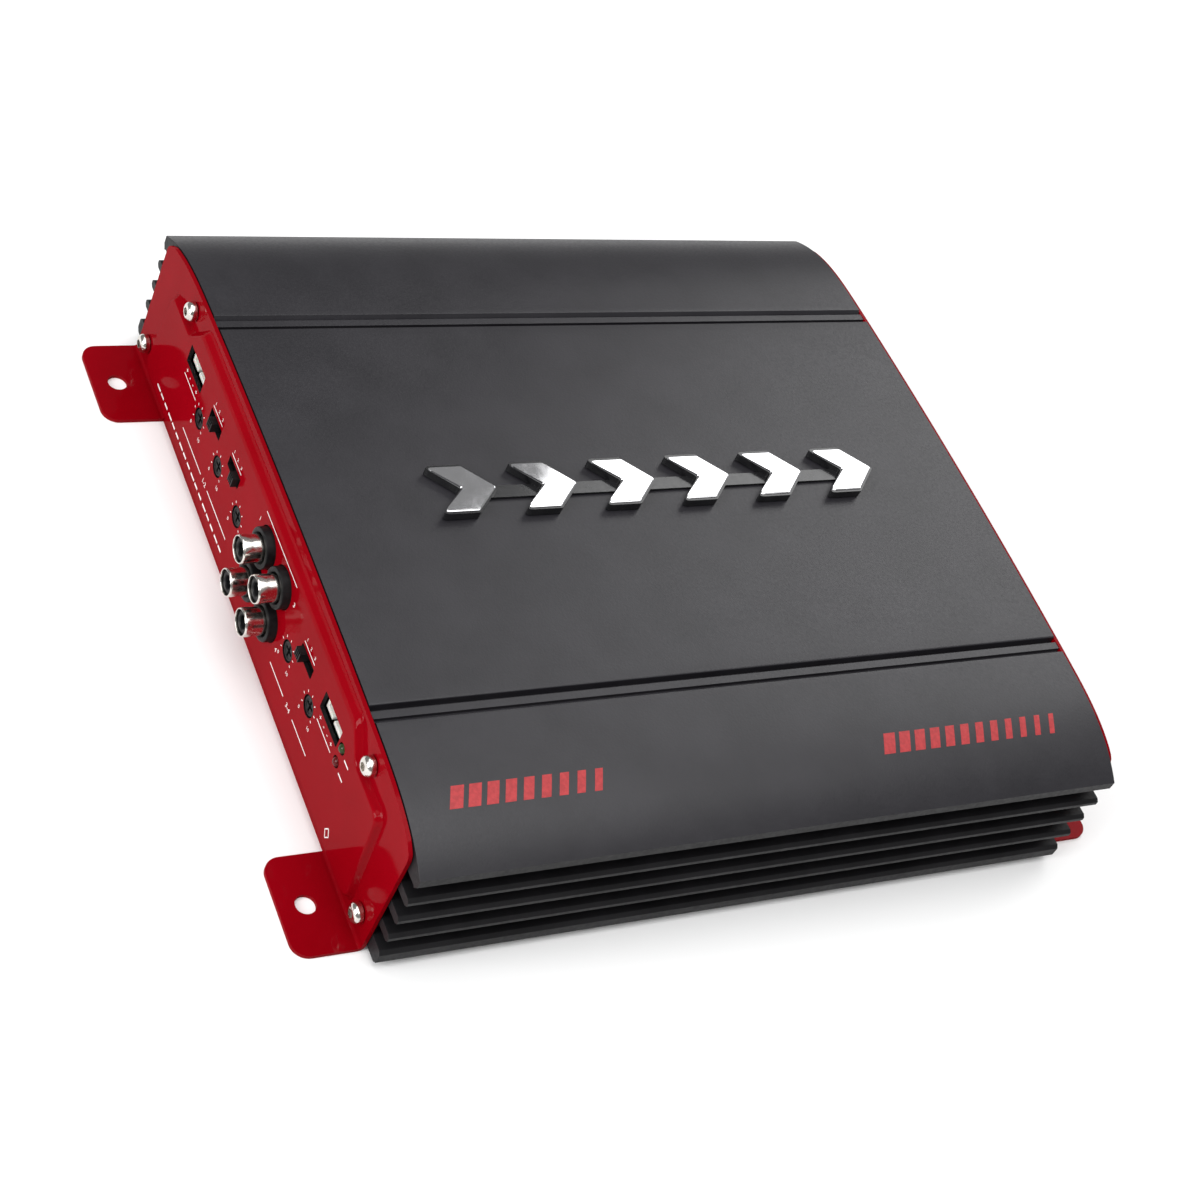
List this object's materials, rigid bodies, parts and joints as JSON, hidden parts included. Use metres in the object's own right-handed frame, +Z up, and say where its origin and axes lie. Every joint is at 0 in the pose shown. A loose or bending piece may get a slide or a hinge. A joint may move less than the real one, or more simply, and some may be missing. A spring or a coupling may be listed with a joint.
{
  "type": "car amplifier",
  "caption": "Low finned car amplifier: crowned dark heat sink between pressed red end panels with mounting tabs, phono jacks, trimmers, slide switches, wire terminals and pull-out fuses.",
  "frame": {"origin": "on the mounting surface, below the middle of the heat sink", "axes": "+X along the heat sink from the input end to the power end, +Y across it towards the side away from the picture's viewer, +Z up"},
  "size_m": [0.27, 0.232, 0.0553],
  "materials": {
    "charcoal_coat": "fine-textured charcoal powder coat on extruded aluminium",
    "red_enamel": "glossy red enamel on pressed steel",
    "nickel": "bright nickel plate",
    "black_plastic": "moulded black plastic",
    "white_plastic": "moulded natural white nylon",
    "green_board": "glass-epoxy circuit board with solder mask",
    "black_steel": "black coated steel sheet",
    "green_lens": "tinted clear resin",
    "red_lens": "tinted clear resin",
    "fuse_green": "translucent green plastic with tinned blades",
    "ferrite": "enamelled copper winding on a ferrite ring",
    "sleeve_black": "shrink sleeve on an aluminium can",
    "chrome": "bright chrome plate on moulded plastic"
  },
  "bodies": {
    "chassis": {"heat_sink": "charcoal_coat", "bottom_cover": "black_steel", "main_circuit_board": "green_board", "input_end_panel": "red_enamel", "power_end_panel": "red_enamel", "rca_jack_block": "black_plastic", "control_board": "green_board", "power_led": "green_lens", "protect_led": "red_lens", "speaker_terminal_block": "black_plastic", "power_terminal_block": "black_plastic", "fuse_holder": "black_plastic", "power_transformer": "ferrite", "filter_capacitor": "sleeve_black", "top_emblem": "chrome", "output_device_bank_far": "black_steel", "output_device_bank_near": "black_steel", "input_panel_screw_1": "nickel", "input_panel_screw_2": "nickel", "input_panel_screw_3": "nickel", "input_panel_screw_4": "nickel", "power_panel_screw_1": "nickel", "power_panel_screw_2": "nickel", "power_panel_screw_3": "nickel", "power_panel_screw_4": "nickel", "rca_barrel_1": "nickel", "rca_barrel_2": "nickel", "rca_barrel_3": "nickel", "rca_barrel_4": "nickel", "pot_body_1": "black_plastic", "pot_body_2": "black_plastic", "pot_body_3": "black_plastic", "pot_body_4": "black_plastic", "pot_body_5": "black_plastic", "switch_body_1": "black_plastic", "switch_body_2": "black_plastic", "switch_body_3": "black_plastic", "high_level_socket_1": "white_plastic", "high_level_socket_2": "white_plastic"},
    "pot_rotor_1_body": {"pot_rotor_1": "black_plastic"},
    "pot_rotor_2_body": {"pot_rotor_2": "black_plastic"},
    "pot_rotor_3_body": {"pot_rotor_3": "black_plastic"},
    "pot_rotor_4_body": {"pot_rotor_4": "black_plastic"},
    "pot_rotor_5_body": {"pot_rotor_5": "black_plastic"},
    "switch_lever_1_body": {"switch_lever_1": "black_plastic"},
    "switch_lever_2_body": {"switch_lever_2": "black_plastic"},
    "switch_lever_3_body": {"switch_lever_3": "black_plastic"},
    "speaker_clamp_screw_1_body": {"speaker_clamp_screw_1": "nickel"},
    "speaker_clamp_screw_2_body": {"speaker_clamp_screw_2": "nickel"},
    "speaker_clamp_screw_3_body": {"speaker_clamp_screw_3": "nickel"},
    "speaker_clamp_screw_4_body": {"speaker_clamp_screw_4": "nickel"},
    "speaker_clamp_screw_5_body": {"speaker_clamp_screw_5": "nickel"},
    "speaker_clamp_screw_6_body": {"speaker_clamp_screw_6": "nickel"},
    "speaker_clamp_screw_7_body": {"speaker_clamp_screw_7": "nickel"},
    "speaker_clamp_screw_8_body": {"speaker_clamp_screw_8": "nickel"},
    "power_clamp_screw_1_body": {"power_clamp_screw_1": "nickel"},
    "power_clamp_screw_2_body": {"power_clamp_screw_2": "nickel"},
    "power_clamp_screw_3_body": {"power_clamp_screw_3": "nickel"},
    "blade_fuse_1_body": {"blade_fuse_1": "fuse_green"},
    "blade_fuse_2_body": {"blade_fuse_2": "fuse_green"}
  },
  "joints": [
    {"name": "pot_1_turn", "type": "hinge", "parent": "chassis", "child": "pot_rotor_1_body", "pos_m": [-0.1183, 0.056, 0.026], "axis": [-1, 0, 0], "range_deg": [-140, 140]},
    {"name": "pot_2_turn", "type": "hinge", "parent": "chassis", "child": "pot_rotor_2_body", "pos_m": [-0.1183, 0.0373, 0.026], "axis": [-1, 0, 0], "range_deg": [-140, 140]},
    {"name": "pot_3_turn", "type": "hinge", "parent": "chassis", "child": "pot_rotor_3_body", "pos_m": [-0.1183, 0.0183, 0.026], "axis": [-1, 0, 0], "range_deg": [-140, 140]},
    {"name": "pot_4_turn", "type": "hinge", "parent": "chassis", "child": "pot_rotor_4_body", "pos_m": [-0.1183, -0.03, 0.026], "axis": [-1, 0, 0], "range_deg": [-140, 140]},
    {"name": "pot_5_turn", "type": "hinge", "parent": "chassis", "child": "pot_rotor_5_body", "pos_m": [-0.1183, -0.0488, 0.026], "axis": [-1, 0, 0], "range_deg": [-140, 140]},
    {"name": "switch_1_slide", "type": "slide", "parent": "chassis", "child": "switch_lever_1_body", "axis": [0, 1, 0], "range_m": [-0.0025, 0.0025]},
    {"name": "switch_2_slide", "type": "slide", "parent": "chassis", "child": "switch_lever_2_body", "axis": [0, 1, 0], "range_m": [0, 0.005]},
    {"name": "switch_3_slide", "type": "slide", "parent": "chassis", "child": "switch_lever_3_body", "axis": [0, 1, 0], "range_m": [-0.005, 0]},
    {"name": "speaker_clamp_1_turn", "type": "hinge", "parent": "chassis", "child": "speaker_clamp_screw_1_body", "pos_m": [0.125, 0.00875, 0.0302], "axis": [0, 0, 1], "range_deg": [0, 720]},
    {"name": "speaker_clamp_2_turn", "type": "hinge", "parent": "chassis", "child": "speaker_clamp_screw_2_body", "pos_m": [0.125, 0.01825, 0.0302], "axis": [0, 0, 1], "range_deg": [0, 720]},
    {"name": "speaker_clamp_3_turn", "type": "hinge", "parent": "chassis", "child": "speaker_clamp_screw_3_body", "pos_m": [0.125, 0.02775, 0.0302], "axis": [0, 0, 1], "range_deg": [0, 720]},
    {"name": "speaker_clamp_4_turn", "type": "hinge", "parent": "chassis", "child": "speaker_clamp_screw_4_body", "pos_m": [0.125, 0.03725, 0.0302], "axis": [0, 0, 1], "range_deg": [0, 720]},
    {"name": "speaker_clamp_5_turn", "type": "hinge", "parent": "chassis", "child": "speaker_clamp_screw_5_body", "pos_m": [0.125, 0.04675, 0.0302], "axis": [0, 0, 1], "range_deg": [0, 720]},
    {"name": "speaker_clamp_6_turn", "type": "hinge", "parent": "chassis", "child": "speaker_clamp_screw_6_body", "pos_m": [0.125, 0.05625, 0.0302], "axis": [0, 0, 1], "range_deg": [0, 720]},
    {"name": "speaker_clamp_7_turn", "type": "hinge", "parent": "chassis", "child": "speaker_clamp_screw_7_body", "pos_m": [0.125, 0.06575, 0.0302], "axis": [0, 0, 1], "range_deg": [0, 720]},
    {"name": "speaker_clamp_8_turn", "type": "hinge", "parent": "chassis", "child": "speaker_clamp_screw_8_body", "pos_m": [0.125, 0.07525, 0.0302], "axis": [0, 0, 1], "range_deg": [0, 720]},
    {"name": "power_clamp_1_turn", "type": "hinge", "parent": "chassis", "child": "power_clamp_screw_1_body", "pos_m": [0.126, -0.041, 0.0332], "axis": [0, 0, 1], "range_deg": [0, 720]},
    {"name": "power_clamp_2_turn", "type": "hinge", "parent": "chassis", "child": "power_clamp_screw_2_body", "pos_m": [0.126, -0.027, 0.0332], "axis": [0, 0, 1], "range_deg": [0, 720]},
    {"name": "power_clamp_3_turn", "type": "hinge", "parent": "chassis", "child": "power_clamp_screw_3_body", "pos_m": [0.126, -0.013, 0.0332], "axis": [0, 0, 1], "range_deg": [0, 720]},
    {"name": "fuse_1_pull", "type": "slide", "parent": "chassis", "child": "blade_fuse_1_body", "axis": [1, 0, 0], "range_m": [0, 0.012]},
    {"name": "fuse_2_pull", "type": "slide", "parent": "chassis", "child": "blade_fuse_2_body", "axis": [1, 0, 0], "range_m": [0, 0.012]}
  ]
}
